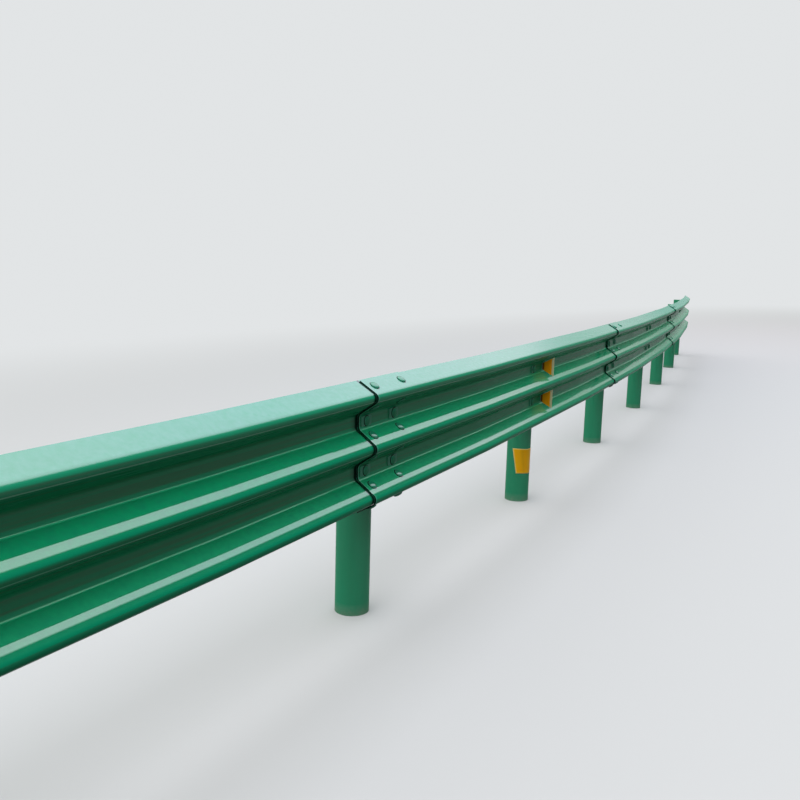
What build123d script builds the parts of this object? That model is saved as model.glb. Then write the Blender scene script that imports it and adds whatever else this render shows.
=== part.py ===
from build123d import *
from math import cos, degrees, radians, sin, tan
import os

# Row: how many rolled sections lap one another, and how the row bends away from the road.
# A section is bent midway between posts, so that it lies straight at its laps and brackets.
SECTIONS = 4
SECTION_PITCH = 4000.0
LAP = 320.0
BEND_RADIUS = 79500.0
SECTION_LENGTH = SECTION_PITCH + LAP
POST_SPACING = SECTION_PITCH / 2
FIRST_POST_STATION = LAP / 2
TURN = degrees(POST_SPACING / BEND_RADIUS)
TURN_STATIONS = [FIRST_POST_STATION + POST_SPACING / 2, FIRST_POST_STATION + POST_SPACING * 3 / 2]

# Clearance left wherever one curved or painted face seats on another, and the wider one between
# the steepest slopes of two lapping sheets, which never spring quite home
SEAT = 0.3
LAP_GAP = 0.8

# Three-wave sheet: depth is measured back from the noses of the ridges
SHEET = 4.0
BEAM_HEIGHT = 506.0
BEAM_DEPTH = 85.0
BEAM_CENTRE_HEIGHT = 715.0
RIDGE_PITCH = 192.0
RIDGE_RADIUS = 24.0
VALLEY_RADIUS = 24.0
WAVE_SLOPE = radians(55)
FLANGE_SLOPE = radians(59.5)
VALLEY_FACE = BEAM_DEPTH - SHEET
VALLEY_HEIGHTS = [-RIDGE_PITCH / 2, RIDGE_PITCH / 2]

# A lapping section lies this far in front of the one it covers
NEST_STEP = (SHEET + LAP_GAP) / cos(FLANGE_SLOPE)

# Bolts of the valleys: slots in the beam, round holes in the brackets
BOLT_REACH = 110.0
BOLT_HOLE_RADIUS = 9.0
SLOT_LENGTH = 40.0

# Round posts, cut off at the ground and closed by a cap that is fused to the tube
POST_RADIUS = 70.0
POST_WALL = 4.5
POST_SETBACK = 178.0
POST_TOP = 898.0
CAP_SHEET = 3.0

# Arched brackets between the post and each valley
BRACKET_SHEET = 4.5
BRACKET_HEIGHT = 70.0
BRACKET_WRAP = radians(34)
BRACKET_BEND = 72.0
BRACKET_END = 138.0

# Reflective plates standing in the valleys beside one post
PLATE_SHEET = 2.0
PLATE_FRONT = 8.0
PLATE_WIDE = 112.0
PLATE_NARROW = 54.0
PLATE_NECK = 32.0
PLATE_SHOULDER = 62.0
PLATE_TAB = 62.0
PLATE_TAB_HEIGHT = 32.0
PLATE_REACH = 46.0
PLATE_SECTION = 1

# The row's origin lies in the middle of the first post's wall, on its side next to the road
POST_WALL_MIDDLE = POST_RADIUS - POST_WALL / 2
FIRST_NOSE = POST_WALL_MIDDLE - POST_SETBACK


def along(station):
    """Place on the line of the noses, a given run along a section from its cut edge."""
    place = Pos(0, 0, 0)
    passed = 0.0
    for turn_station in TURN_STATIONS:
        if station > turn_station:
            place *= Pos(turn_station - passed, 0, 0) * Rot(0, 0, TURN)
            passed = turn_station
    return place * Pos(station - passed, 0, 0)


def slope_depth(height_from_ridge, slope):
    """Depth of a slope's road-side face, where the slope runs out of a ridge's round nose."""
    return RIDGE_RADIUS - RIDGE_RADIUS / cos(slope) + height_from_ridge * tan(slope)


def slope_height(depth, slope):
    """Height from the ridge at which a slope reaches a depth."""
    return (depth - RIDGE_RADIUS + RIDGE_RADIUS / cos(slope)) / tan(slope)


# Rolled profile: the road-side line from the lower edge to the upper edge, thickened to the back
valley_corner = slope_height(VALLEY_FACE, WAVE_SLOPE)
wave_apex = slope_depth(0, WAVE_SLOPE)
outer_apex = (RIDGE_RADIUS / cos(FLANGE_SLOPE) - RIDGE_RADIUS / cos(WAVE_SLOPE)) / (
    tan(WAVE_SLOPE) + tan(FLANGE_SLOPE)
)
edge_depth = slope_depth(BEAM_HEIGHT / 2 - RIDGE_PITCH, FLANGE_SLOPE)
upper_half = [
    (wave_apex, 0),
    (VALLEY_FACE, valley_corner),
    (VALLEY_FACE, RIDGE_PITCH - valley_corner),
    (slope_depth(outer_apex, FLANGE_SLOPE), RIDGE_PITCH + outer_apex),
    (edge_depth, BEAM_HEIGHT / 2),
]
lower_half = [(depth, -height) for depth, height in reversed(upper_half[1:])]
half_radii = [VALLEY_RADIUS, VALLEY_RADIUS, RIDGE_RADIUS]
road_line = FilletPolyline(
    *lower_half, *upper_half, radius=[*reversed(half_radii), RIDGE_RADIUS, *half_radii]
)
profile = make_face(offset(road_line, SHEET, side=Side.RIGHT, closed=True))
profile = Plane.YZ * (Pos(0, BEAM_CENTRE_HEIGHT) * profile)

# One section: the profile carried along the noses' line, mitred at its two bends
path_stations = [0.0, *TURN_STATIONS, SECTION_LENGTH]
path = Polyline(*[along(station).position for station in path_stations])
plain_section = sweep(profile, path=path, transition=Transition.RIGHT)


def valley_slots(stations):
    """Slots along both valleys, at the given stations."""
    half_run = SLOT_LENGTH / 2 - BOLT_HOLE_RADIUS
    slot = Box(2 * half_run, 8 * SHEET, 2 * BOLT_HOLE_RADIUS)
    for end in (-half_run, half_run):
        slot += Pos(end, 0, 0) * Rot(90, 0, 0) * Cylinder(BOLT_HOLE_RADIUS, 8 * SHEET)
    return [
        along(station) * Pos(0, VALLEY_FACE, BEAM_CENTRE_HEIGHT + valley) * slot
        for station in stations
        for valley in VALLEY_HEIGHTS
    ]


# Bracket: two ears on the back of a valley, two legs, and a saddle round the front of the post
saddle_radius = POST_RADIUS + SEAT
ear_face = BEAM_DEPTH + SEAT
saddle_end = (saddle_radius * sin(BRACKET_WRAP), POST_SETBACK - saddle_radius * cos(BRACKET_WRAP))
saddle = ThreePointArc(
    (-saddle_end[0], saddle_end[1]), (0, POST_SETBACK - saddle_radius), saddle_end
)
ear_back = ear_face + BRACKET_SHEET
right_leg = Polyline(saddle_end, (BRACKET_BEND, ear_back), (BRACKET_END, ear_back))
left_leg = mirror(right_leg, Plane.YZ)
back_line = Wire([*left_leg.edges(), *saddle.edges(), *right_leg.edges()])
bracket_line = offset(
    back_line, BRACKET_SHEET, kind=Kind.INTERSECTION, side=Side.LEFT, closed=True
)
bracket_plan = make_face(bracket_line)
bracket = extrude(bracket_plan, BRACKET_HEIGHT / 2, both=True)
ear_hole = Rot(90, 0, 0) * Cylinder(BOLT_HOLE_RADIUS, 4 * BRACKET_SHEET)
drilled_bracket = bracket
for reach in (-BOLT_REACH, BOLT_REACH):
    drilled_bracket -= Pos(reach, ear_face, 0) * ear_hole

# Post: a tube from the ground up to the underside of its cap
standing = (Align.CENTER, Align.CENTER, Align.MIN)
post = Cylinder(POST_RADIUS, POST_TOP, align=standing)
post -= Cylinder(POST_RADIUS - POST_WALL, POST_TOP - CAP_SHEET, align=standing)

# Reflective plate: a trapezoid across the valley, facing along the row, on a tab under the bolt's washer
tab_face = VALLEY_FACE - SEAT
plate_side = Polyline(
    (PLATE_FRONT, -PLATE_WIDE / 2),
    (PLATE_FRONT, PLATE_WIDE / 2),
    (PLATE_SHOULDER, PLATE_NARROW / 2),
    (tab_face, PLATE_NECK / 2),
    (tab_face, -PLATE_NECK / 2),
    (PLATE_SHOULDER, -PLATE_NARROW / 2),
    close=True,
)
plate = extrude(Plane.YZ * make_face(plate_side), PLATE_SHEET)
plate += Pos(0, tab_face - PLATE_SHEET, 0) * Box(
    PLATE_TAB, PLATE_SHEET, PLATE_TAB_HEIGHT, align=(Align.MIN, Align.MIN, Align.CENTER)
)

# Each section starts a nest step in front of the one before it, which it laps
first_section = Pos(0, FIRST_NOSE, 0) * along(FIRST_POST_STATION).inverse()
section_places = [first_section]
for number in range(1, SECTIONS):
    section_places.append(section_places[-1] * along(SECTION_PITCH) * Pos(0, -NEST_STEP, 0))

nodes = {}
first_slots = valley_slots([FIRST_POST_STATION - BOLT_REACH, FIRST_POST_STATION + BOLT_REACH])
for number, place in enumerate(section_places):
    section = plain_section - first_slots if number == 0 else plain_section
    nodes[f"beam_section_{number + 1}"] = place * section

# Posts stand behind the middle of every lap and halfway between, each with its two brackets
post_places = [first_section * along(FIRST_POST_STATION)]
for place in section_places:
    for half in (1, 2):
        post_places.append(place * along(FIRST_POST_STATION + half * POST_SPACING))
for number, place in enumerate(post_places):
    nodes[f"post_{number + 1}"] = place * Pos(0, POST_SETBACK, 0) * post
    carrier = drilled_bracket if number == 0 else bracket
    pair = [place * Pos(0, 0, BEAM_CENTRE_HEIGHT + valley) * carrier for valley in VALLEY_HEIGHTS]
    nodes[f"brackets_{number + 1}"] = Compound(children=pair)

# The reflective plates stand just before the second bolt of one mid post
plate_station = FIRST_POST_STATION + POST_SPACING + BOLT_REACH - PLATE_REACH
plate_place = section_places[PLATE_SECTION] * along(plate_station)
plates = [plate_place * Pos(0, 0, BEAM_CENTRE_HEIGHT + valley) * plate for valley in VALLEY_HEIGHTS]
nodes["delineators"] = Compound(children=plates)

os.makedirs("parts", exist_ok=True)
for name, shape in nodes.items():
    export_step(shape, f"parts/{name}.step")
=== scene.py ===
from math import atan2, cos, pi, radians, sin, tan

import bmesh
import bpy
from mathutils import Matrix, Vector


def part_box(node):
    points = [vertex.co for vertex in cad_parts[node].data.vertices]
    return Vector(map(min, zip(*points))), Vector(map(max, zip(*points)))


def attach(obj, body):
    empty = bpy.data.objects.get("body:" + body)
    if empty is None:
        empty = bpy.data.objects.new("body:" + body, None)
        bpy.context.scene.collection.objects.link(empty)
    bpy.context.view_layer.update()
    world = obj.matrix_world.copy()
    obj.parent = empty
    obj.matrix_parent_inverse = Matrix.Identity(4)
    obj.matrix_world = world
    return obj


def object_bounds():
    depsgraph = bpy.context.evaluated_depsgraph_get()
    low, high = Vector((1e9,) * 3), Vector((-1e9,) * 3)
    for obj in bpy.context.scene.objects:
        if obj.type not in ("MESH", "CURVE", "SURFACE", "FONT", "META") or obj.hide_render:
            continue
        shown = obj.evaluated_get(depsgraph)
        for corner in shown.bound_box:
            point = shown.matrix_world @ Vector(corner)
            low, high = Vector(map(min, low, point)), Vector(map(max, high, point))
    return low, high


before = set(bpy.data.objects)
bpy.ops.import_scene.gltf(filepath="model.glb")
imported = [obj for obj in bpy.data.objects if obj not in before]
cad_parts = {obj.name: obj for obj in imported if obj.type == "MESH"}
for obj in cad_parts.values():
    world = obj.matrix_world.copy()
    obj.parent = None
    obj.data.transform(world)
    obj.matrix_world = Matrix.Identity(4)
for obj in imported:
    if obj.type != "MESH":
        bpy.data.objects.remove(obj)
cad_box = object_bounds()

# Viewpoint: an eye a little above the rail, on the side that traffic passes, looking along the row.
# Its place, its tilt and its angle of view were fitted to the laps and the posts' feet.
EYE = Vector((1.1294, -1.6798, 1.4125))
EYE_YAW = 0.52325
EYE_PITCH = 0.15839
EYE_ROLL = 0.02931
EYE_FOCUS = 878.9
PICTURE_SIDE = 800
SENSOR = 36.0

ahead = Vector((cos(EYE_YAW), sin(EYE_YAW), 0)) * cos(EYE_PITCH) - Vector((0, 0, 1)) * sin(EYE_PITCH)
level_right = Vector((sin(EYE_YAW), -cos(EYE_YAW), 0))
level_up = level_right.cross(ahead)
right = level_right * cos(EYE_ROLL) + level_up * sin(EYE_ROLL)
up = level_up * cos(EYE_ROLL) - level_right * sin(EYE_ROLL)
eye_data = bpy.data.cameras.new("eye")
eye_data.sensor_width = SENSOR
eye_data.lens = EYE_FOCUS / PICTURE_SIDE * SENSOR
eye_data.clip_start = 0.05
eye_data.clip_end = 600
eye = bpy.data.objects.new("eye", eye_data)
bpy.context.scene.collection.objects.link(eye)
eye.matrix_world = Matrix.Translation(EYE) @ Matrix((right, up, -ahead)).transposed().to_4x4()
bpy.context.scene.camera = eye

# Light: a soft pale sky, brighter behind the row than over the road, and one long lamp that follows the row.
# The lamp's tones along its length were matched by measure to the one view from the eye above.
SKY_LOW = 0.24
SKY_HIGH = 0.80
SKY_RISE = 0.40
SKY_BRIGHT_SIDE = (-0.6, 0.8, 0)
SKY_DIM = 0.32
SKY_FULL = 1.68
BACKDROP = (0.76, 0.78, 0.79, 1)
LAMP_LONG = 64.0
LAMP_WIDE = 9.0
LAMP_MIDDLE = (0, -1.1, 8.0)
LAMP_TURN = radians(3.5)
LAMP_RADIANCE = 1.2
LAMP_TONES = (
    (0.0, (1.0, 1.0, 1.15)),
    (0.62, (1.0, 1.0, 1.15)),
    (0.667, (0.84, 0.86, 1.12)),
    (0.703, (0.68, 0.80, 1.00)),
    (0.758, (0.84, 0.81, 1.04)),
    (0.88, (0.76, 0.66, 0.82)),
    (0.928, (0.60, 0.50, 0.63)),
    (0.975, (0.09, 0.07, 0.13)),
    (1.0, (0.03, 0.02, 0.04)),
)

bpy.context.scene.view_settings.view_transform = "Standard"
world = bpy.data.worlds.new("studio")
bpy.context.scene.world = world
world.use_nodes = True
sky = world.node_tree
sky.nodes.clear()


def looked_at(tree):
    """Bright for rays that look at a thing, also by reflection or through glass; dark for its light."""
    path = tree.nodes.new("ShaderNodeLightPath")
    bright = path.outputs["Is Camera Ray"]
    for kind in ("Is Glossy Ray", "Is Transmission Ray"):
        either = tree.nodes.new("ShaderNodeMath")
        either.operation = "MAXIMUM"
        tree.links.new(bright, either.inputs[0])
        tree.links.new(path.outputs[kind], either.inputs[1])
        bright = either.outputs[0]
    return bright


light_of_sky = sky.nodes.new("ShaderNodeBackground")
light_of_sky.inputs["Color"].default_value = (0.96, 0.98, 1, 1)
sky_way = sky.nodes.new("ShaderNodeTexCoord")
sky_split = sky.nodes.new("ShaderNodeSeparateXYZ")
sky.links.new(sky_way.outputs["Generated"], sky_split.inputs["Vector"])
sky_rise = sky.nodes.new("ShaderNodeMapRange")
sky_rise.inputs["From Max"].default_value = SKY_RISE
sky_rise.inputs["To Min"].default_value = SKY_LOW
sky_rise.inputs["To Max"].default_value = SKY_HIGH
sky.links.new(sky_split.outputs["Z"], sky_rise.inputs["Value"])
sky_side = sky.nodes.new("ShaderNodeVectorMath")
sky_side.operation = "DOT_PRODUCT"
sky.links.new(sky_way.outputs["Generated"], sky_side.inputs[0])
sky_side.inputs[1].default_value = SKY_BRIGHT_SIDE
sky_slant = sky.nodes.new("ShaderNodeMapRange")
sky_slant.inputs["From Min"].default_value = -1
sky_slant.inputs["To Min"].default_value = SKY_DIM
sky_slant.inputs["To Max"].default_value = SKY_FULL
sky.links.new(sky_side.outputs["Value"], sky_slant.inputs["Value"])
sky_strength = sky.nodes.new("ShaderNodeMath")
sky_strength.operation = "MULTIPLY"
sky.links.new(sky_rise.outputs["Result"], sky_strength.inputs[0])
sky.links.new(sky_slant.outputs["Result"], sky_strength.inputs[1])
sky.links.new(sky_strength.outputs[0], light_of_sky.inputs["Strength"])
look_of_sky = sky.nodes.new("ShaderNodeBackground")
look_of_sky.inputs["Color"].default_value = BACKDROP
look_of_sky.inputs["Strength"].default_value = 1
choose = sky.nodes.new("ShaderNodeMixShader")
sky.links.new(looked_at(sky), choose.inputs["Fac"])
sky.links.new(light_of_sky.outputs[0], choose.inputs[1])
sky.links.new(look_of_sky.outputs[0], choose.inputs[2])
sky_out = sky.nodes.new("ShaderNodeOutputWorld")
sky.links.new(choose.outputs[0], sky_out.inputs["Surface"])

middle = (cad_box[0] + cad_box[1]) / 2
lamp_data = bpy.data.lights.new("ceiling_lamp", "AREA")
lamp_data.shape = "RECTANGLE"
lamp_data.size = LAMP_LONG
lamp_data.size_y = LAMP_WIDE
lamp_data.energy = LAMP_RADIANCE * pi * LAMP_LONG * LAMP_WIDE
lamp_data.use_nodes = True
glow = lamp_data.node_tree
on_lamp = glow.nodes.new("ShaderNodeNewGeometry")
split_lamp = glow.nodes.new("ShaderNodeSeparateXYZ")
glow.links.new(on_lamp.outputs["Parametric"], split_lamp.inputs["Vector"])
dimming = glow.nodes.new("ShaderNodeValToRGB")
stops = dimming.color_ramp.elements
while len(stops) < len(LAMP_TONES):
    stops.new(1)
for stop, (place_on_lamp, tone) in zip(stops, LAMP_TONES):
    stop.position = place_on_lamp
    stop.color = (*tone, 1)
glow.links.new(split_lamp.outputs["X"], dimming.inputs["Fac"])
glow.links.new(dimming.outputs["Color"], glow.nodes["Emission"].inputs["Color"])
lamp = bpy.data.objects.new("ceiling_lamp", lamp_data)
bpy.context.scene.collection.objects.link(lamp)
lamp.location = LAMP_MIDDLE
lamp.rotation_euler = (0, 0, LAMP_TURN)

# Floor: a plain pale ground that only carries the object's shadow, and runs out into the backdrop.
# It throws as little light back up at the object as a dark road does.
FLOOR_REACH = 150.0
FLOOR_SIDES = 96
FLOOR_PALE = (0.60, 0.605, 0.57, 1)
FLOOR_THROWN = (0.10, 0.10, 0.10, 1)
FADE_FROM = 2.0
FADE_TO = 9.0
FADE_LONG = 4.0

ground = bmesh.new()
bmesh.ops.create_circle(ground, cap_ends=True, radius=FLOOR_REACH, segments=FLOOR_SIDES)
floor_mesh = bpy.data.meshes.new("floor")
ground.to_mesh(floor_mesh)
ground.free()
floor = bpy.data.objects.new("floor", floor_mesh)
bpy.context.scene.collection.objects.link(floor)
floor.location = (middle.x, middle.y, 0)
floor_paint = bpy.data.materials.new("pale_floor")
floor_paint.use_nodes = True
plain = floor_paint.node_tree
plain.nodes.clear()
floor_tone = plain.nodes.new("ShaderNodeMix")
floor_tone.data_type = "RGBA"
floor_tone.inputs["A"].default_value = FLOOR_THROWN
floor_tone.inputs["B"].default_value = FLOOR_PALE
plain.links.new(looked_at(plain), floor_tone.inputs["Factor"])
matt = plain.nodes.new("ShaderNodeBsdfDiffuse")
plain.links.new(floor_tone.outputs["Result"], matt.inputs["Color"])
far_off = plain.nodes.new("ShaderNodeEmission")
far_off.inputs["Color"].default_value = BACKDROP
plain.links.new(looked_at(plain), far_off.inputs["Strength"])
spot = plain.nodes.new("ShaderNodeTexCoord")
shorten = plain.nodes.new("ShaderNodeMapping")
shorten.inputs["Scale"].default_value = (1 / FADE_LONG, 1, 1)
plain.links.new(spot.outputs["Object"], shorten.inputs["Vector"])
away = plain.nodes.new("ShaderNodeVectorMath")
away.operation = "LENGTH"
plain.links.new(shorten.outputs["Vector"], away.inputs[0])
fade = plain.nodes.new("ShaderNodeMapRange")
fade.interpolation_type = "SMOOTHSTEP"
fade.inputs["From Min"].default_value = FADE_FROM
fade.inputs["From Max"].default_value = FADE_TO
plain.links.new(away.outputs["Value"], fade.inputs["Value"])
blend_out = plain.nodes.new("ShaderNodeMixShader")
plain.links.new(fade.outputs["Result"], blend_out.inputs["Fac"])
plain.links.new(matt.outputs[0], blend_out.inputs[1])
plain.links.new(far_off.outputs[0], blend_out.inputs[2])
floor_out = plain.nodes.new("ShaderNodeOutputMaterial")
plain.links.new(blend_out.outputs[0], floor_out.inputs["Surface"])
floor_mesh.materials.append(floor_paint)


# Posts: round galvanized tubes, dipped in green plastic powder and baked, with a pressed cap at the top.
# They are driven into the ground, so their feet pick up dust and splashed mud.
POST_COUNT = 9
POST_GREEN = (0.010, 0.250, 0.110, 1)
POST_GREEN_FADED = (0.020, 0.320, 0.150, 1)
SPLASH = (0.30, 0.29, 0.24, 1)
SPLASH_HEIGHT = 0.05
POST_SHINE = (0.12, 0.6)


def facing(tree, axis, least, most, at_least=0.0, at_most=1.0):
    """A mask of how far the surface faces along one axis."""
    shape = tree.nodes.new("ShaderNodeNewGeometry")
    split = tree.nodes.new("ShaderNodeSeparateXYZ")
    tree.links.new(shape.outputs["Normal"], split.inputs["Vector"])
    ramp = tree.nodes.new("ShaderNodeMapRange")
    ramp.interpolation_type = "SMOOTHSTEP"
    ramp.inputs["From Min"].default_value = least
    ramp.inputs["From Max"].default_value = most
    ramp.inputs["To Min"].default_value = at_least
    ramp.inputs["To Max"].default_value = at_most
    tree.links.new(split.outputs[axis], ramp.inputs["Value"])
    return ramp.outputs["Result"]


def green_coat(name, green, faded, streak_scale, roughness, shine):
    """A baked plastic coat: two greens in drawn-out clouds, faint orange peel and a glossy skin.
    Rain keeps what faces the sky glossy, and spray from the road dulls the rest.
    """
    made = bpy.data.materials.new(name)
    made.use_nodes = True
    tree = made.node_tree
    skin = tree.nodes["Principled BSDF"]
    place = tree.nodes.new("ShaderNodeTexCoord")
    stretch = tree.nodes.new("ShaderNodeMapping")
    stretch.inputs["Scale"].default_value = streak_scale
    tree.links.new(place.outputs["Object"], stretch.inputs["Vector"])
    clouds = tree.nodes.new("ShaderNodeTexNoise")
    clouds.name = "clouds"
    clouds.inputs["Scale"].default_value = 3
    clouds.inputs["Detail"].default_value = 6
    tree.links.new(stretch.outputs["Vector"], clouds.inputs["Vector"])
    tone = tree.nodes.new("ShaderNodeMix")
    tone.name = "tone"
    tone.data_type = "RGBA"
    tone.inputs["A"].default_value = green
    tone.inputs["B"].default_value = faded
    tree.links.new(clouds.outputs["Fac"], tone.inputs["Factor"])
    tree.links.new(tone.outputs["Result"], skin.inputs["Base Color"])
    smears = tree.nodes.new("ShaderNodeTexNoise")
    smears.inputs["Scale"].default_value = 6
    smears.inputs["Detail"].default_value = 3
    tree.links.new(stretch.outputs["Vector"], smears.inputs["Vector"])
    gloss = tree.nodes.new("ShaderNodeMapRange")
    gloss.name = "gloss"
    gloss.inputs["To Min"].default_value = roughness * 0.75
    gloss.inputs["To Max"].default_value = roughness * 1.35
    tree.links.new(smears.outputs["Fac"], gloss.inputs["Value"])
    tree.links.new(gloss.outputs["Result"], skin.inputs["Roughness"])
    peel = tree.nodes.new("ShaderNodeTexNoise")
    peel.inputs["Scale"].default_value = 260
    peel.inputs["Detail"].default_value = 2
    tree.links.new(place.outputs["Object"], peel.inputs["Vector"])
    relief = tree.nodes.new("ShaderNodeBump")
    relief.name = "relief"
    relief.inputs["Strength"].default_value = 0.02
    relief.inputs["Distance"].default_value = 0.0003
    tree.links.new(peel.outputs["Fac"], relief.inputs["Height"])
    tree.links.new(relief.outputs["Normal"], skin.inputs["Normal"])
    skin.inputs["IOR"].default_value = 1.5
    skin.inputs["Specular IOR Level"].default_value = 0.008
    tree.links.new(facing(tree, "Z", 0.50, 0.72, *shine), skin.inputs["Coat Weight"])
    skin.inputs["Coat Roughness"].default_value = 0.07
    skin.inputs["Coat IOR"].default_value = 2.4
    return made


def lay_over(made, film, mask):
    """Mixes one more colour over what a coat shows, where the mask is bright."""
    tree = made.node_tree
    skin = tree.nodes["Principled BSDF"]
    under = skin.inputs["Base Color"].links[0].from_socket
    over = tree.nodes.new("ShaderNodeMix")
    over.data_type = "RGBA"
    over.inputs["B"].default_value = film
    tree.links.new(mask, over.inputs["Factor"])
    tree.links.new(under, over.inputs["A"])
    tree.links.new(over.outputs["Result"], skin.inputs["Base Color"])


def fading_height(tree, low, high, at_low, at_high):
    """A mask that runs from one strength to another between two heights, broken up by fine noise."""
    place = tree.nodes.new("ShaderNodeTexCoord")
    split = tree.nodes.new("ShaderNodeSeparateXYZ")
    tree.links.new(place.outputs["Object"], split.inputs["Vector"])
    ramp = tree.nodes.new("ShaderNodeMapRange")
    ramp.inputs["From Min"].default_value = low
    ramp.inputs["From Max"].default_value = high
    ramp.inputs["To Min"].default_value = at_low
    ramp.inputs["To Max"].default_value = at_high
    tree.links.new(split.outputs["Z"], ramp.inputs["Value"])
    grit = tree.nodes.new("ShaderNodeTexNoise")
    grit.inputs["Scale"].default_value = 45
    grit.inputs["Detail"].default_value = 8
    tree.links.new(place.outputs["Object"], grit.inputs["Vector"])
    broken = tree.nodes.new("ShaderNodeMath")
    broken.operation = "MULTIPLY"
    tree.links.new(ramp.outputs["Result"], broken.inputs[0])
    tree.links.new(grit.outputs["Fac"], broken.inputs[1])
    return broken.outputs[0]


post_coat = green_coat("post_coat", POST_GREEN, POST_GREEN_FADED, (7, 7, 0.5), 0.3, POST_SHINE)
lay_over(post_coat, SPLASH, fading_height(post_coat.node_tree, 0, SPLASH_HEIGHT, 0.7, 0))
for number in range(1, POST_COUNT + 1):
    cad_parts[f"post_{number}"].material_slots[0].material = post_coat

# Brackets: strips of plate bent round the front of each post, with two ears that seat on a valley's back.
# They are coated before they are bolted on, and stay cleaner than the posts.
BRACKET_GREEN = (0.008, 0.150, 0.068, 1)
BRACKET_GREEN_FADED = (0.014, 0.190, 0.090, 1)
BRACKET_SHINE = (0.05, 0.5)

bracket_coat = green_coat(
    "bracket_coat", BRACKET_GREEN, BRACKET_GREEN_FADED, (5, 5, 5), 0.28, BRACKET_SHINE
)
for number in range(1, POST_COUNT + 1):
    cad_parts[f"brackets_{number}"].material_slots[0].material = bracket_coat

# Beam sections: rolled three-wave sheet, galvanized, coated in the same plastic and lapped along the row.
# Dust lies on what faces the sky, the top flange is chalked most by the weather, and dirt fills the laps; the
# chalk's pale blue is also a painted sky reflection, and the laps carry painted shade besides.
# Also painted light: a brighter green on the skyward slopes, painted highlights along the creases and the cut
# edges, painted reflections under the noses, and painted shade on the downward faces and the nose fronts. Crease
# lines, lap dirt and shade and the wider shine on the lower ridges are finish only: the metal has none of them.
SECTION_COUNT = 4
POST_SPACING = 2.0
ROW_RADIUS = 79.5
POST_SETBACK = 0.178
LAP_POSTS = (3, 5, 7)
LAP_HALF = 0.16
BEAM_GREEN = (0.004, 0.300, 0.135, 1)
BEAM_GREEN_FADED = (0.008, 0.370, 0.180, 1)
BEAM_SHINE = (0.06, 0.70)
ROAD_FILM_AND_SHADE = (0.026, 0.130, 0.062, 1)
PAINTED_SKYLIGHT_GREEN = (0.004, 0.520, 0.185, 1)
STREAK = (0.075, 0.085, 0.050, 1)
STREAK_LINES = (0.5, 0.5, 75)
STREAK_STRENGTH = 0.30
SKYLIGHT_GREEN_BELOW = (0.895, 0.905)
CHALK_AND_REFLECTION_BELOW = (0.50, 0.60)
LOW_CHALK_AND_REFLECTION_STRENGTH = 0.10
TOP_CHALK_AND_REFLECTION_STRENGTH = 0.26
DUST_STRENGTH = 0.02
CREASE_HIGHLIGHT = (0.02, 0.75, 0.32, 1)
CREASES = ((0.7788, 0.7830), (0.5868, 0.5910))
UNDER_NOSES = ((0.8920, 0.8955), (0.7000, 0.7035))
UNDER_NOSE_REFLECTION = (0.22, 0.52, 0.34, 1)
NOSE_SHADE_GREEN = (0.006, 0.190, 0.090, 1)
NOSE_FRONTS = ((0.690, 0.7335), (0.480, 0.5455))
CROWNS = (0.7347, 0.5427)
CROWN_HEIGHT = 0.0142
CROWN_RISE = 0.0022
DULL_FROM = 8.2
DULL_TO = 11.0
DULL_SHINE = 0.30
GAP_REACH = 0.022
RIDGE_GAPS = ((0.894, 0.920), (0.702, 0.728), (0.510, 0.536))
VALLEY_GAPS = ((0.791, 0.831), (0.599, 0.639))
CHALK_AND_SKY_REFLECTION = (0.42, 0.62, 0.72, 1)
DUST = (0.30, 0.36, 0.30, 1)
TOP_FLANGE_FOOT = 0.912
TOP_FLANGE_HEAD = 0.926
GRIME_AND_SHADE = (0.003, 0.010, 0.007, 1)
GRIME_AND_SHADOW_REACH = 0.014
SHADED_REACH = 0.050
VALLEY_BANDS = ((0.775, 0.850), (0.583, 0.658))
EDGE_HIGHLIGHT = (0.14, 0.48, 0.36, 1)


def in_front_of(post):
    """Place on the line of the noses before a post: X along the row, Y away from the road, Z up."""
    low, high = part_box(f"post_{post}")
    heading = (post - 1) * POST_SPACING / ROW_RADIUS
    axis = Matrix.Translation(((low[0] + high[0]) / 2, (low[1] + high[1]) / 2, 0))
    return axis @ Matrix.Rotation(heading, 4, "Z") @ Matrix.Translation((0, -POST_SETBACK, 0))


def product(tree, first, *others):
    """Multiplies masks with one another, and with plain strengths."""
    for other in others:
        times = tree.nodes.new("ShaderNodeMath")
        times.operation = "MULTIPLY"
        tree.links.new(first, times.inputs[0])
        if isinstance(other, float):
            times.inputs[1].default_value = other
        else:
            tree.links.new(other, times.inputs[1])
        first = times.outputs[0]
    return first


def brighter(tree, first, *others):
    """The brightest of some masks at each spot."""
    for other in others:
        most = tree.nodes.new("ShaderNodeMath")
        most.operation = "MAXIMUM"
        tree.links.new(first, most.inputs[0])
        tree.links.new(other, most.inputs[1])
        first = most.outputs[0]
    return first


def between(tree, value, least, most, soft, soft_end=None):
    """A mask that is bright where a value lies between two others, with soft sides."""
    rising = tree.nodes.new("ShaderNodeMapRange")
    rising.inputs["From Min"].default_value = least - soft
    rising.inputs["From Max"].default_value = least + soft
    tree.links.new(value, rising.inputs["Value"])
    soft_end = soft if soft_end is None else soft_end
    falling = tree.nodes.new("ShaderNodeMapRange")
    falling.inputs["From Min"].default_value = most - soft_end
    falling.inputs["From Max"].default_value = most + soft_end
    falling.inputs["To Min"].default_value = 1
    falling.inputs["To Max"].default_value = 0
    tree.links.new(value, falling.inputs["Value"])
    return product(tree, rising.outputs["Result"], falling.outputs["Result"])


def in_bands(tree, value, bands, soft):
    """A mask that is bright where a value lies in any of some bands."""
    return brighter(tree, *[between(tree, value, low, high, soft) for low, high in bands])


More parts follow.
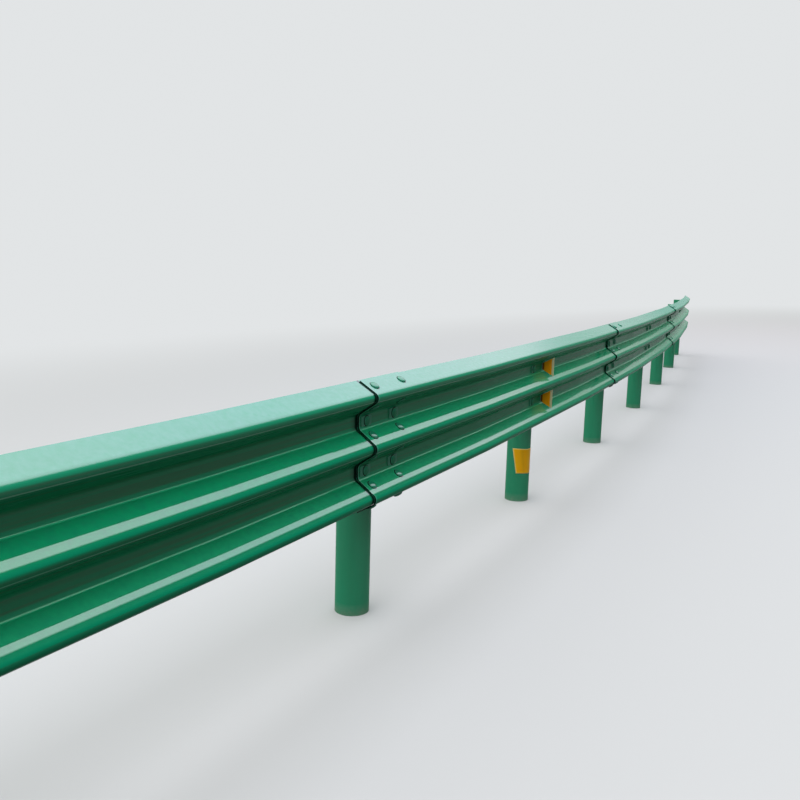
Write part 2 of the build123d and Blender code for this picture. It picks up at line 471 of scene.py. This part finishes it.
def local_axes(tree, post):
    """Run along the row, depth from the noses and height, measured from one post's own place."""
    place = tree.nodes.new("ShaderNodeTexCoord")
    home = in_front_of(post)
    shift = tree.nodes.new("ShaderNodeVectorMath")
    shift.operation = "SUBTRACT"
    shift.inputs[1].default_value = home.translation
    tree.links.new(place.outputs["Object"], shift.inputs[0])
    turn = tree.nodes.new("ShaderNodeVectorRotate")
    turn.rotation_type = "Z_AXIS"
    turn.inputs["Angle"].default_value = -(post - 1) * POST_SPACING / ROW_RADIUS
    tree.links.new(shift.outputs["Vector"], turn.inputs["Vector"])
    split = tree.nodes.new("ShaderNodeSeparateXYZ")
    tree.links.new(turn.outputs["Vector"], split.inputs["Vector"])
    return split.outputs["X"], split.outputs["Y"], split.outputs["Z"]


beam_coat = green_coat("beam_coat", BEAM_GREEN, BEAM_GREEN_FADED, (0.35, 4, 4), 0.26, BEAM_SHINE)
beam_tree = beam_coat.node_tree
skyward = facing(beam_tree, "Z", 0.35, 0.9)
# Road film on the side and downward faces, which also stands in for painted shade there.
lay_over(beam_coat, ROAD_FILM_AND_SHADE, facing(beam_tree, "Z", 0.0, 0.25, 0.45, 0))
streak_place = beam_tree.nodes.new("ShaderNodeTexCoord")
streak_stretch = beam_tree.nodes.new("ShaderNodeMapping")
streak_stretch.inputs["Scale"].default_value = STREAK_LINES
beam_tree.links.new(streak_place.outputs["Object"], streak_stretch.inputs["Vector"])
streaks = beam_tree.nodes.new("ShaderNodeTexNoise")
streaks.inputs["Scale"].default_value = 1
streaks.inputs["Detail"].default_value = 5
beam_tree.links.new(streak_stretch.outputs["Vector"], streaks.inputs["Vector"])
streaked = between(beam_tree, streaks.outputs["Fac"], 0.56, 2, 0.06)
shaded_side = facing(beam_tree, "Z", 0.0, 0.25, 1, 0)
lay_over(beam_coat, STREAK, product(beam_tree, streaked, shaded_side, STREAK_STRENGTH))
lay_over(beam_coat, DUST, product(beam_tree, skyward, DUST_STRENGTH))
# Painted light: a brighter green on the faces that look at the sky, below the top flange.
below_top = fading_height(beam_tree, *SKYLIGHT_GREEN_BELOW, 1, 0)
lay_over(beam_coat, PAINTED_SKYLIGHT_GREEN, product(beam_tree, skyward, below_top))
# Chalk on the skyward faces low down and on the top flange, with a painted sky reflection in its pale blue.
low_down = fading_height(beam_tree, *CHALK_AND_REFLECTION_BELOW, 1, 0)
lay_over(beam_coat, CHALK_AND_SKY_REFLECTION, product(beam_tree, skyward, LOW_CHALK_AND_REFLECTION_STRENGTH, low_down))
on_top = fading_height(beam_tree, TOP_FLANGE_FOOT, TOP_FLANGE_HEAD, 0, 1)
lay_over(beam_coat, CHALK_AND_SKY_REFLECTION, product(beam_tree, skyward, TOP_CHALK_AND_REFLECTION_STRENGTH, on_top))
beam_skin = beam_tree.nodes["Principled BSDF"]
beam_place = beam_tree.nodes.new("ShaderNodeTexCoord")
beam_split = beam_tree.nodes.new("ShaderNodeSeparateXYZ")
beam_tree.links.new(beam_place.outputs["Object"], beam_split.inputs["Vector"])
beam_run, beam_height = beam_split.outputs["X"], beam_split.outputs["Z"]
beam_facing = beam_tree.nodes.new("ShaderNodeNewGeometry")
facing_split = beam_tree.nodes.new("ShaderNodeSeparateXYZ")
beam_tree.links.new(beam_facing.outputs["Normal"], facing_split.inputs["Vector"])
to_front = between(beam_tree, facing_split.outputs["Y"], -2, -0.1, 0.05)
# Painted highlights: pale lines along the lower creases of the valleys.
in_crease = in_bands(beam_tree, beam_height, CREASES, 0.0006)
lay_over(beam_coat, CREASE_HIGHLIGHT, product(beam_tree, to_front, in_crease, 0.75))
# Painted reflections: pale lines just under the noses.
under_nose = in_bands(beam_tree, beam_height, UNDER_NOSES, 0.0008)
lay_over(beam_coat, UNDER_NOSE_REFLECTION, product(beam_tree, to_front, under_nose, 0.8))
# Painted shade: a darker green on the nose fronts of the lower two ridges.
on_nose = in_bands(beam_tree, beam_height, NOSE_FRONTS, 0.0015)
lay_over(beam_coat, NOSE_SHADE_GREEN, product(beam_tree, on_nose, skyward, 0.6))
off_nose = beam_tree.nodes.new("ShaderNodeMath")
off_nose.operation = "SUBTRACT"
off_nose.inputs[0].default_value = 1
beam_tree.links.new(on_nose, off_nose.inputs[1])
duller = beam_tree.nodes.new("ShaderNodeMapRange")
duller.inputs["From Min"].default_value = DULL_FROM
duller.inputs["From Max"].default_value = DULL_TO
duller.inputs["To Min"].default_value = 1
duller.inputs["To Max"].default_value = DULL_SHINE
beam_tree.links.new(beam_run, duller.inputs["Value"])
gloss_kept = product(beam_tree, off_nose.outputs[0], duller.outputs["Result"])
facing_gloss = beam_skin.inputs["Coat Weight"].links[0].from_socket
beam_tree.links.new(product(beam_tree, facing_gloss, gloss_kept), beam_skin.inputs["Coat Weight"])
crown_heights = []
for foot in CROWNS:
    crown = beam_tree.nodes.new("ShaderNodeMapRange")
    crown.inputs["From Min"].default_value = foot
    crown.inputs["From Max"].default_value = foot + CROWN_HEIGHT
    beam_tree.links.new(beam_height, crown.inputs["Value"])
    crown_heights.append(crown.outputs["Result"])
crowns = beam_tree.nodes.new("ShaderNodeMath")
beam_tree.links.new(crown_heights[0], crowns.inputs[0])
beam_tree.links.new(crown_heights[1], crowns.inputs[1])
crown_bump = beam_tree.nodes.new("ShaderNodeBump")
crown_bump.inputs["Distance"].default_value = CROWN_RISE
beam_tree.links.new(crowns.outputs[0], crown_bump.inputs["Height"])
beam_tree.links.new(beam_tree.nodes["relief"].outputs["Normal"], crown_bump.inputs["Normal"])
beam_tree.links.new(crown_bump.outputs["Normal"], beam_skin.inputs["Coat Normal"])
cut_end = between(beam_tree, facing_split.outputs["X"], -2, -0.5, 0.1)
seen_side = brighter(beam_tree, to_front, cut_end)
for post in LAP_POSTS:
    run, depth, height = local_axes(beam_tree, post)
    in_valley = in_bands(beam_tree, height, VALLEY_BANDS, 0.012)
    soft_shade = between(beam_tree, run, -LAP_HALF - SHADED_REACH / 2, -LAP_HALF, SHADED_REACH / 2, 0.0003)
    # Painted shade in the valleys just before the cut edge.
    lay_over(beam_coat, GRIME_AND_SHADE, product(beam_tree, soft_shade, to_front, in_valley, 0.75))
    # Dirt and a painted shadow along the cut edge and on its end face.
    cut_grime_and_shadow = between(beam_tree, run, -LAP_HALF - GRIME_AND_SHADOW_REACH, -LAP_HALF + 0.0005, 0.005, 0.0003)
    lay_over(beam_coat, GRIME_AND_SHADE, product(beam_tree, cut_grime_and_shadow, seen_side, 0.92))
    # Painted shade where one sheet hides the other.
    at_ridge = in_bands(beam_tree, height, RIDGE_GAPS, 0.001)
    at_ridge = product(beam_tree, at_ridge, between(beam_tree, depth, -0.004, 0.020, 0.0005))
    at_valley = in_bands(beam_tree, height, VALLEY_GAPS, 0.001)
    at_valley = product(beam_tree, at_valley, between(beam_tree, depth, 0.0763, 0.090, 0.0005))
    in_gap = between(beam_tree, run, -LAP_HALF - 0.0005, -LAP_HALF + GAP_REACH, 0.0003)
    hidden = brighter(beam_tree, at_ridge, at_valley)
    lay_over(beam_coat, GRIME_AND_SHADE, product(beam_tree, in_gap, to_front, hidden))
    # A painted highlight along the lapping sheet's cut edge.
    on_edge = between(beam_tree, run, -LAP_HALF + 0.0015, -LAP_HALF + 0.007, 0.0006)
    lay_over(beam_coat, EDGE_HIGHLIGHT, product(beam_tree, on_edge, to_front, 0.45))
for number in range(1, SECTION_COUNT + 1):
    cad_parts[f"beam_section_{number}"].material_slots[0].material = beam_coat


# Splice bolts: twelve bolts with domed heads draw the two sheets of each lap together, six at each end.
# They are dipped in the same green, and show a washer, a nut and a stub of thread behind the beam.
BEAM_MIDDLE = 0.715
RIDGE_PITCH = 0.192
RIDGE_RADIUS = 0.024
WAVE_SLOPE = radians(55)
FLANGE_SLOPE = radians(59.5)
SHEET = 0.004
NEST_STEP = 0.00946
BOLT_REACH = 0.11
SPLICE_DEPTH = 0.045
SPLICE_REACH = 0.108
SPLICE_SHIFT = -0.004
BOLT_RADIUS = 0.008
HEAD_RADIUS = 0.0188
HEAD_HEIGHT = 0.0078
WASHER_RADIUS = 0.0185
WASHER_SHEET = 0.003
NUT_RADIUS = 0.0139
NUT_HEIGHT = 0.013
THREAD_LEFT = 0.009
THREAD_PITCH = 0.002
BOLT_GREEN = (0.008, 0.230, 0.110, 1)
BOLT_GREEN_FADED = (0.020, 0.310, 0.165, 1)
WORN_RIM_AND_HIGHLIGHT = (0.16, 0.42, 0.33, 1)
BOLT_SHINE = (0.03, 0.70)


def turned(shape, place, rings, sides):
    """Adds a turned form to a shape: rings of radius and height about the place's Z, closed at both ends.
    Hands back the loops of its corners.
    """
    loops = []
    for radius, height in rings:
        loop = []
        for step in range(sides):
            angle = 2 * pi * (step + 0.5) / sides
            corner = Vector((radius * cos(angle), radius * sin(angle), height))
            loop.append(shape.verts.new(place @ corner))
        loops.append(loop)
    for lower, upper in zip(loops, loops[1:]):
        for step in range(sides):
            after = (step + 1) % sides
            shape.faces.new((lower[step], lower[after], upper[after], upper[step]))
    shape.faces.new(list(reversed(loops[0])))
    shape.faces.new(loops[-1])
    return loops


def bolt_shape():
    """An empty shape whose corners can be marked for dirt and painted shade."""
    shape = bmesh.new()
    shape.verts.layers.float.new("dirt_and_shade")
    return shape


def domed_head(shape, place):
    """A domed head that stands on the place's floor, with a thin ring of dirt and painted shade round its foot.
    """
    rings = [(HEAD_RADIUS * 1.16, 0), (HEAD_RADIUS * 1.14, 0.0006)]
    rings += [(HEAD_RADIUS * 0.99, 0.0007), (HEAD_RADIUS, HEAD_HEIGHT * 0.22)]
    for step in range(1, 6):
        rise = radians(15 * step)
        rings.append((HEAD_RADIUS * cos(rise), HEAD_HEIGHT * (0.22 + 0.78 * sin(rise))))
    loops = turned(shape, place, rings, 24)
    dirt_and_shade = shape.verts.layers.float["dirt_and_shade"]
    for loop in loops[:3]:
        for vert in loop:
            vert[dirt_and_shade] = 1


def nut_and_thread(shape, place):
    """A washer, a nut with chamfered corners and the bolt's threaded end, from the place's floor up."""
    rim = WASHER_SHEET * 0.8
    washer = [(WASHER_RADIUS, 0), (WASHER_RADIUS, rim), (WASHER_RADIUS * 0.96, WASHER_SHEET)]
    turned(shape, place, washer, 24)
    on_washer = place @ Matrix.Translation((0, 0, WASHER_SHEET))
    flat = NUT_RADIUS * 0.93
    corner = NUT_HEIGHT * 0.12
    nut = [(flat, 0), (NUT_RADIUS, corner), (NUT_RADIUS, NUT_HEIGHT - corner), (flat, NUT_HEIGHT)]
    turned(shape, on_washer, nut, 6)
    rings = []
    turns = int(THREAD_LEFT / THREAD_PITCH)
    for turn in range(turns + 1):
        rings.append((BOLT_RADIUS * 0.86, NUT_HEIGHT - THREAD_PITCH / 2 + turn * THREAD_PITCH))
        rings.append((BOLT_RADIUS, NUT_HEIGHT + turn * THREAD_PITCH))
    rings.append((BOLT_RADIUS * 0.8, NUT_HEIGHT + THREAD_LEFT))
    turned(shape, on_washer, rings, 14)


def fastened(name, shape, coat):
    """Makes a piece of a shape: smooth but for its sharp edges, and fixed to the row."""
    bmesh.ops.recalc_face_normals(shape, faces=shape.faces)
    mesh = bpy.data.meshes.new(name)
    shape.to_mesh(mesh)
    shape.free()
    mesh.shade_smooth()
    mesh.set_sharp_from_angle(angle=radians(32))
    mesh.materials.append(coat)
    piece = bpy.data.objects.new(name, mesh)
    bpy.context.scene.collection.objects.link(piece)
    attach(piece, "root")
    return piece


bolt_coat = green_coat("bolt_coat", BOLT_GREEN, BOLT_GREEN_FADED, (9, 9, 9), 0.24, BOLT_SHINE)
bolt_tree = bolt_coat.node_tree
# Rims and corners are paler: wear, with a painted highlight.
rim_geometry = bolt_tree.nodes.new("ShaderNodeNewGeometry")
wear_and_highlight = bolt_tree.nodes.new("ShaderNodeMapRange")
wear_and_highlight.inputs["From Min"].default_value = 0.52
wear_and_highlight.inputs["From Max"].default_value = 0.60
wear_and_highlight.inputs["To Max"].default_value = 0.7
bolt_tree.links.new(rim_geometry.outputs["Pointiness"], wear_and_highlight.inputs["Value"])
# Road film on the bolts' side and downward faces, with painted shade.
lay_over(bolt_coat, ROAD_FILM_AND_SHADE, facing(bolt_tree, "Z", 0.0, 0.25, 0.45, 0))
lay_over(bolt_coat, WORN_RIM_AND_HIGHLIGHT, wear_and_highlight.outputs["Result"])
# Dirt and painted shade on the marked rings at the heads' feet.
dirt_and_shade_mark = bolt_tree.nodes.new("ShaderNodeAttribute")
dirt_and_shade_mark.attribute_name = "dirt_and_shade"
lay_over(bolt_coat, GRIME_AND_SHADE, product(bolt_tree, dirt_and_shade_mark.outputs["Fac"], 0.9))

for lap, post in enumerate(LAP_POSTS):
    bolts = bolt_shape()
    for ridge in (-1, 0, 1):
        for side in (-1, 1):
            slope = FLANGE_SLOPE if ridge == side else WAVE_SLOPE
            reach_up = (SPLICE_DEPTH - RIDGE_RADIUS + RIDGE_RADIUS / cos(slope)) / tan(slope)
            height = BEAM_MIDDLE + ridge * RIDGE_PITCH + side * reach_up
            outward = Matrix.Rotation(atan2(cos(slope), side * sin(slope)), 4, "X")
            for along in (SPLICE_SHIFT - SPLICE_REACH, SPLICE_SHIFT + SPLICE_REACH):
                spot = in_front_of(post) @ Matrix.Translation((along, SPLICE_DEPTH - NEST_STEP, height)) @ outward
                domed_head(bolts, spot)
                behind = NEST_STEP * cos(slope) + SHEET
                back = Matrix.Translation((0, 0, -behind)) @ Matrix.Rotation(pi, 4, "X")
                nut_and_thread(bolts, spot @ back)
    fastened(f"splice_bolts_{lap + 1}", bolts, bolt_coat)

# Valley bolts: one through each valley into each ear of a bracket, over a thick rectangular washer.
# The washers lie long way along the row and bridge the slot, with rounded corners, and rims paled by wear and a
# painted highlight.
VALLEY_SEAT = 0.0804
EAR_BACK = 0.0898
SLOT_WASHER_LONG = 0.076
SLOT_WASHER_TALL = 0.040
SLOT_WASHER_THICK = 0.004
SLOT_WASHER_CORNER = 0.009
SLOT_WASHER_BEVEL = 0.0009


def slot_washer(shape, place):
    """A rectangular washer with rounded corners and bevelled rims, standing on the place's floor."""
    loops = []
    shoulder = SLOT_WASHER_THICK - SLOT_WASHER_BEVEL
    for inset, height in ((0, 0), (0, shoulder), (SLOT_WASHER_BEVEL, SLOT_WASHER_THICK)):
        loop = []
        for corner in range(4):
            for step in range(6):
                angle = (corner + step / 5) * pi / 2
                across = (SLOT_WASHER_LONG / 2 - SLOT_WASHER_CORNER) * (1 if corner in (0, 3) else -1)
                tall = (SLOT_WASHER_TALL / 2 - SLOT_WASHER_CORNER) * (1 if corner in (0, 1) else -1)
                radius = SLOT_WASHER_CORNER - inset
                spot = Vector((across + radius * cos(angle), tall + radius * sin(angle), height))
                loop.append(shape.verts.new(place @ spot))
        loops.append(loop)
    count = len(loops[0])
    for lower, upper in zip(loops, loops[1:]):
        for step in range(count):
            after = (step + 1) % count
            shape.faces.new((lower[step], lower[after], upper[after], upper[step]))
    shape.faces.new(list(reversed(loops[0])))
    shape.faces.new(loops[-1])


for post in range(1, POST_COUNT + 1):
    bolts = bolt_shape()
    seat = VALLEY_SEAT - (NEST_STEP if post in LAP_POSTS else 0)
    for valley in (-RIDGE_PITCH / 2, RIDGE_PITCH / 2):
        for along in (-BOLT_REACH, BOLT_REACH):
            spot = in_front_of(post) @ Matrix.Translation((along, 0, BEAM_MIDDLE + valley))
            to_road = Matrix.Rotation(pi / 2, 4, "X")
            slot_washer(bolts, spot @ Matrix.Translation((0, seat, 0)) @ to_road)
            domed_head(bolts, spot @ Matrix.Translation((0, seat - SLOT_WASHER_THICK, 0)) @ to_road)
            to_back = Matrix.Rotation(-pi / 2, 4, "X")
            nut_and_thread(bolts, spot @ Matrix.Translation((0, EAR_BACK, 0)) @ to_back)
    fastened(f"valley_bolts_{post}", bolts, bolt_coat)

# Post bolts: one right through the saddle of each bracket and the post behind it.
# The head lies in the gap behind the beam, and the nut shows on the post's far side.
# The last post is left without nuts there, to stay inside the solids' own box.
SADDLE_FRONT = 0.1032
POST_BACK = 0.248
NUT_SINK = 0.0006

for post in range(1, POST_COUNT + 1):
    bolts = bolt_shape()
    for valley in (-RIDGE_PITCH / 2, RIDGE_PITCH / 2):
        spot = in_front_of(post) @ Matrix.Translation((0, 0, BEAM_MIDDLE + valley))
        domed_head(bolts, spot @ Matrix.Translation((0, SADDLE_FRONT, 0)) @ Matrix.Rotation(pi / 2, 4, "X"))
        if post < POST_COUNT:
            to_back = Matrix.Rotation(-pi / 2, 4, "X")
            nut_and_thread(bolts, spot @ Matrix.Translation((0, POST_BACK - NUT_SINK, 0)) @ to_back)
    fastened(f"post_bolts_{post}", bolts, bolt_coat)

# Reflective plates: bent steel sheet covered with yellow reflective sheeting, seen end on by the traffic.
# A pale strip runs down the wide edge, and the sheeting has faded and gathered dust.
PLATE_POST = 4
STRIP_FROM = 0.008
STRIP_TO = 0.021
TAB_FROM = 0.0775
SHEETING = (0.98, 0.440, 0.002, 1)
SHEETING_FADED = (0.98, 0.54, 0.012, 1)
STRIP_CREAM = (0.72, 0.62, 0.36, 1)
PLATE_ZINC = (0.30, 0.33, 0.31, 1)
PLATE_RIM_SHADE = (0.050, 0.018, 0.012, 1)
PLATE_ORANGE = (0.99, 0.300, 0.001, 1)
ROAD_DUST = (0.16, 0.13, 0.09, 1)
CELL_SCALE = 240


def sheeting(name):
    """Reflective sheeting: two yellows in soft clouds over fine cells, under a clear skin."""
    made = bpy.data.materials.new(name)
    made.use_nodes = True
    tree = made.node_tree
    skin = tree.nodes["Principled BSDF"]
    place = tree.nodes.new("ShaderNodeTexCoord")
    clouds = tree.nodes.new("ShaderNodeTexNoise")
    clouds.inputs["Scale"].default_value = 30
    clouds.inputs["Detail"].default_value = 5
    tree.links.new(place.outputs["Object"], clouds.inputs["Vector"])
    tone = tree.nodes.new("ShaderNodeMix")
    tone.data_type = "RGBA"
    tone.inputs["A"].default_value = SHEETING
    tone.inputs["B"].default_value = SHEETING_FADED
    tree.links.new(clouds.outputs["Fac"], tone.inputs["Factor"])
    tree.links.new(tone.outputs["Result"], skin.inputs["Base Color"])
    cells = tree.nodes.new("ShaderNodeTexVoronoi")
    cells.feature = "DISTANCE_TO_EDGE"
    cells.inputs["Scale"].default_value = CELL_SCALE
    cells.inputs["Randomness"].default_value = 0.15
    tree.links.new(place.outputs["Object"], cells.inputs["Vector"])
    relief = tree.nodes.new("ShaderNodeBump")
    relief.inputs["Strength"].default_value = 0.25
    relief.inputs["Distance"].default_value = 0.0002
    tree.links.new(cells.outputs["Distance"], relief.inputs["Height"])
    tree.links.new(relief.outputs["Normal"], skin.inputs["Normal"])
    gloss = tree.nodes.new("ShaderNodeMapRange")
    gloss.inputs["To Min"].default_value = 0.3
    gloss.inputs["To Max"].default_value = 0.5
    tree.links.new(clouds.outputs["Fac"], gloss.inputs["Value"])
    tree.links.new(gloss.outputs["Result"], skin.inputs["Roughness"])
    skin.inputs["Specular IOR Level"].default_value = 0.12
    return made


plate_coat = sheeting("reflective_yellow")
plate_tree = plate_coat.node_tree
plate_depth = local_axes(plate_tree, PLATE_POST)[1]
whole_plate = between(plate_tree, plate_depth, 0, 0.09, 0.001)
lay_over(plate_coat, PLATE_ORANGE, product(plate_tree, whole_plate, 0.85))
lay_over(plate_coat, STRIP_CREAM, between(plate_tree, plate_depth, STRIP_FROM - 0.004, STRIP_TO, 0.0006))
# Painted shade: a dark band across the plate near its inner edge.
inner_rim_shade = between(plate_tree, plate_depth, 0.067, 0.079, 0.002)
lay_over(plate_coat, PLATE_RIM_SHADE, product(plate_tree, inner_rim_shade, 0.85))
lay_over(plate_coat, PLATE_ZINC, between(plate_tree, plate_depth, TAB_FROM, 0.09, 0.0004))
lay_over(plate_coat, ROAD_DUST, product(plate_tree, facing(plate_tree, "Z", 0.3, 0.9), 0.5))
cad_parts["delineators"].material_slots[0].material = plate_coat

# Reflective band: a patch of yellow sheeting stuck round the road side of one post, cut a little askew.
# It has a crease where it was pulled tight, and pale rims.
BAND_POST = 4
BAND_LOW = 0.171
BAND_HIGH = 0.322
BAND_START_HIGH = radians(-102)
BAND_START_LOW = radians(-80)
BAND_END = radians(48)
BAND_RADIUS = 0.0704
BAND_ROWS = 30
BAND_COLUMNS = 72
CREASE_AT = radians(-54)
CREASE_WIDE = radians(2.2)
CREASE_RISE = 0.0009
RIM_CREAM = (0.90, 0.72, 0.24, 1)
BAND_CREASE_SHADE = (0.36, 0.16, 0.012, 1)

band_shape = bmesh.new()
band_place = in_front_of(BAND_POST) @ Matrix.Translation((0, POST_SETBACK, 0))
uv = band_shape.loops.layers.uv.new("UVMap")
grid = []
for row in range(BAND_ROWS + 1):
    up_share = row / BAND_ROWS
    start = BAND_START_LOW + (BAND_START_HIGH - BAND_START_LOW) * up_share
    line = []
    for column in range(BAND_COLUMNS + 1):
        round_share = column / BAND_COLUMNS
        angle = start + (BAND_END - start) * round_share
        crease = CREASE_RISE * max(0.0, 1 - abs(angle - CREASE_AT - 0.03 * up_share) / CREASE_WIDE) ** 2
        lift = 0.0012 * max(0.0, 1 - round_share * 16) * max(0.0, up_share - 0.7)
        radius = BAND_RADIUS + crease + lift
        height = BAND_LOW + (BAND_HIGH - BAND_LOW) * up_share + 0.0015 * sin(9 * round_share)
        spot = Vector((radius * sin(angle), -radius * cos(angle), height))
        line.append(band_shape.verts.new(band_place @ spot))
    grid.append(line)
for row in range(BAND_ROWS):
    for column in range(BAND_COLUMNS):
        corners = ((row, column), (row, column + 1), (row + 1, column + 1), (row + 1, column))
        face = band_shape.faces.new([grid[r][c] for r, c in corners])
        for loop, (r, c) in zip(face.loops, corners):
            loop[uv].uv = (c / BAND_COLUMNS, r / BAND_ROWS)
band_coat = sheeting("reflective_band")
band_tree = band_coat.node_tree
band_uv = band_tree.nodes.new("ShaderNodeUVMap")
band_uv.uv_map = "UVMap"
band_split = band_tree.nodes.new("ShaderNodeSeparateXYZ")
band_tree.links.new(band_uv.outputs["UV"], band_split.inputs["Vector"])
middle_round = between(band_tree, band_split.outputs["X"], 0.035, 0.965, 0.01)
middle_up = between(band_tree, band_split.outputs["Y"], 0.03, 0.97, 0.012)
inner = product(band_tree, middle_round, middle_up)
rim = band_tree.nodes.new("ShaderNodeMath")
rim.operation = "SUBTRACT"
rim.inputs[0].default_value = 0.8
band_tree.links.new(inner, rim.inputs[1])
rim.use_clamp = True
# Painted shade along the crease.
creased = between(band_tree, band_split.outputs["X"], 0.26, 0.36, 0.04)
lay_over(band_coat, BAND_CREASE_SHADE, product(band_tree, creased, 0.16))
lay_over(band_coat, RIM_CREAM, rim.outputs[0])
band = fastened("reflective_band", band_shape, band_coat)
thicken = band.modifiers.new("sheet", "SOLIDIFY")
thicken.thickness = 0.0004
thicken.offset = 1
